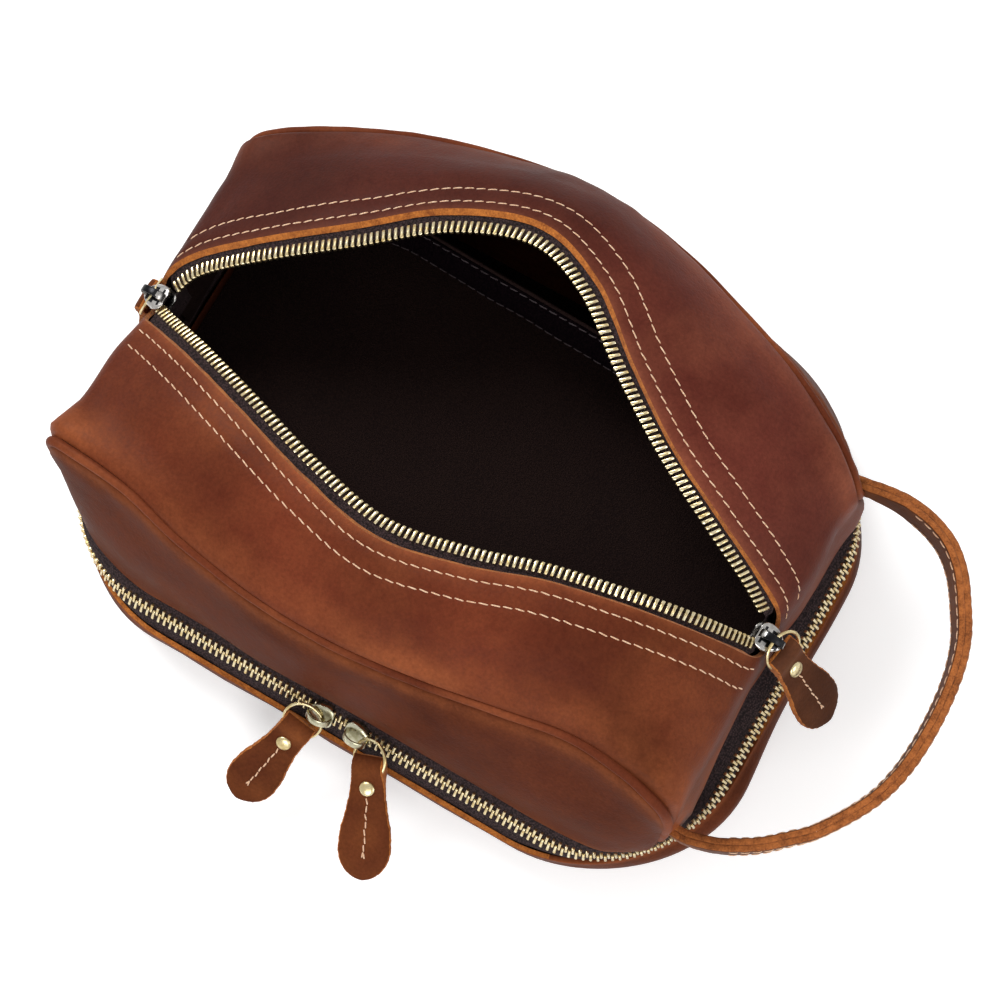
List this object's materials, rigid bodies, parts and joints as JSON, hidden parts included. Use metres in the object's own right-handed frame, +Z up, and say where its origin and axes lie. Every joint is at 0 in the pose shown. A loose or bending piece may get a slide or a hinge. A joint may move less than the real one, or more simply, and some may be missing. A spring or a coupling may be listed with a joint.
{
  "type": "toiletry bag",
  "caption": "Leather toiletry bag with a zipped tray below, a taller bag with an open zipped mouth above it, leather zip pulls and a strap handle at one end.",
  "frame": {"origin": "middle of the tray's flat underside", "axes": "+X towards the strap handle, -Y towards the front with its two lower zip pulls, +Z up out of the open mouth"},
  "size_m": [0.3154, 0.2449, 0.1185],
  "materials": {
    "leather": "waxed, slight sheen",
    "leather_dark": "waxed, slight sheen",
    "leather_raw_edge": "raw cut edge, matt",
    "lining_cloth": "woven, matt",
    "zip_tape": "woven, matt",
    "zip_brass": "polished pale brass",
    "antique_brass": "antique brass, worn"
  },
  "bodies": {
    "tray": {"tray_base": "leather_dark", "tray_wall": "leather", "tray_floor_lining": "lining_cloth", "tray_wall_lining": "lining_cloth", "tray_zip_teeth": "zip_brass", "tray_zip_tape": "zip_tape", "hinge_roll": "leather"},
    "bag": {"body_zip_teeth": "zip_brass", "body_zip_tape": "zip_tape", "lower_zip_stop_left": "antique_brass", "lower_zip_stop_right": "antique_brass", "floor_panel": "leather_dark", "floor_lining": "lining_cloth", "front_panel": "leather", "back_panel": "leather", "front_gusset": "leather", "back_gusset": "leather", "front_piping": "leather_dark", "back_piping": "leather_dark", "front_lining": "lining_cloth", "back_lining": "lining_cloth", "front_gusset_lining": "lining_cloth", "back_gusset_lining": "lining_cloth", "inner_pocket": "lining_cloth", "pocket_band": "zip_tape", "front_mouth_teeth": "zip_brass", "back_mouth_teeth": "zip_brass", "front_mouth_tape": "zip_tape", "back_mouth_tape": "zip_tape", "handle_anchor_front": "leather_raw_edge", "handle_anchor_back": "leather_raw_edge", "top_left_slider": "antique_brass", "top_right_slider": "antique_brass"},
    "handle": {"handle_outer_layer": "leather_raw_edge", "handle_inner_layer": "leather_dark"},
    "lower_left_slide": {"lower_left_slider": "antique_brass"},
    "lower_left_link": {"lower_left_ring": "zip_brass"},
    "lower_left_pull": {"lower_left_tab": "leather", "lower_left_rivet": "zip_brass"},
    "lower_right_slide": {"lower_right_slider": "antique_brass"},
    "lower_right_link": {"lower_right_ring": "zip_brass"},
    "lower_right_pull": {"lower_right_tab": "leather", "lower_right_rivet": "zip_brass"},
    "top_left_link": {"top_left_ring": "zip_brass"},
    "top_left_pull": {"top_left_tab": "leather", "top_left_rivet": "zip_brass"},
    "top_right_link": {"top_right_ring": "zip_brass"},
    "top_right_pull": {"top_right_tab": "leather", "top_right_rivet": "zip_brass"}
  },
  "joints": [
    {"name": "bag_hinge", "type": "hinge", "parent": "tray", "child": "bag", "pos_m": [0, 0.0951, 0.0333], "axis": [-1, 0, 0], "range_deg": [0, 100]},
    {"name": "handle_hinge", "type": "hinge", "parent": "bag", "child": "handle", "pos_m": [0.1248, 0, 0.052], "axis": [0, 1, 0], "range_deg": [-75, 25]},
    {"name": "lower_left_zip", "type": "slide", "parent": "bag", "child": "lower_left_slide", "axis": [-1, 0, 0], "range_m": [0, 0.07]},
    {"name": "lower_right_zip", "type": "slide", "parent": "bag", "child": "lower_right_slide", "axis": [1, 0, 0], "range_m": [0, 0.066]},
    {"name": "lower_left_ring_hinge", "type": "hinge", "parent": "lower_left_slide", "child": "lower_left_link", "pos_m": [-0.0049, -0.09424, 0.0394], "axis": [-0.6947, 0.4966, 0.5205], "range_deg": [-4, 75]},
    {"name": "lower_left_tab_hinge", "type": "hinge", "parent": "lower_left_link", "child": "lower_left_pull", "pos_m": [-0.01141, -0.10405, 0.03356], "axis": [-0.9501, 0.1114, 0.2914], "range_deg": [-9, 12]},
    {"name": "lower_right_ring_hinge", "type": "hinge", "parent": "lower_right_slide", "child": "lower_right_link", "pos_m": [0.0103, -0.09424, 0.0394], "axis": [-0.6018, -0.5513, -0.5778], "range_deg": [-4, 75]},
    {"name": "lower_right_tab_hinge", "type": "hinge", "parent": "lower_right_link", "child": "lower_right_pull", "pos_m": [0.01794, -0.10476, 0.03663], "axis": [-0.8441, -0.2179, -0.49], "range_deg": [-11, 10]},
    {"name": "top_left_ring_hinge", "type": "hinge", "parent": "bag", "child": "top_left_link", "pos_m": [-0.12148, 0, 0.08773], "axis": [0, 1, 0], "range_deg": [0, 90]},
    {"name": "top_left_tab_hinge", "type": "hinge", "parent": "top_left_link", "child": "top_left_pull", "pos_m": [-0.12613, 0, 0.07495], "axis": [0, 1, 0], "range_deg": [-1, 20]},
    {"name": "top_right_ring_hinge", "type": "hinge", "parent": "bag", "child": "top_right_link", "pos_m": [0.12148, 0, 0.08773], "axis": [-0.2823, -0.9511, 0.1257], "range_deg": [-3, 80]},
    {"name": "top_right_tab_hinge", "type": "hinge", "parent": "top_right_link", "child": "top_right_pull", "pos_m": [0.12817, -0.00352, 0.07642], "axis": [-0.2853, -0.9495, 0.1308], "range_deg": [-10, 11]}
  ]
}
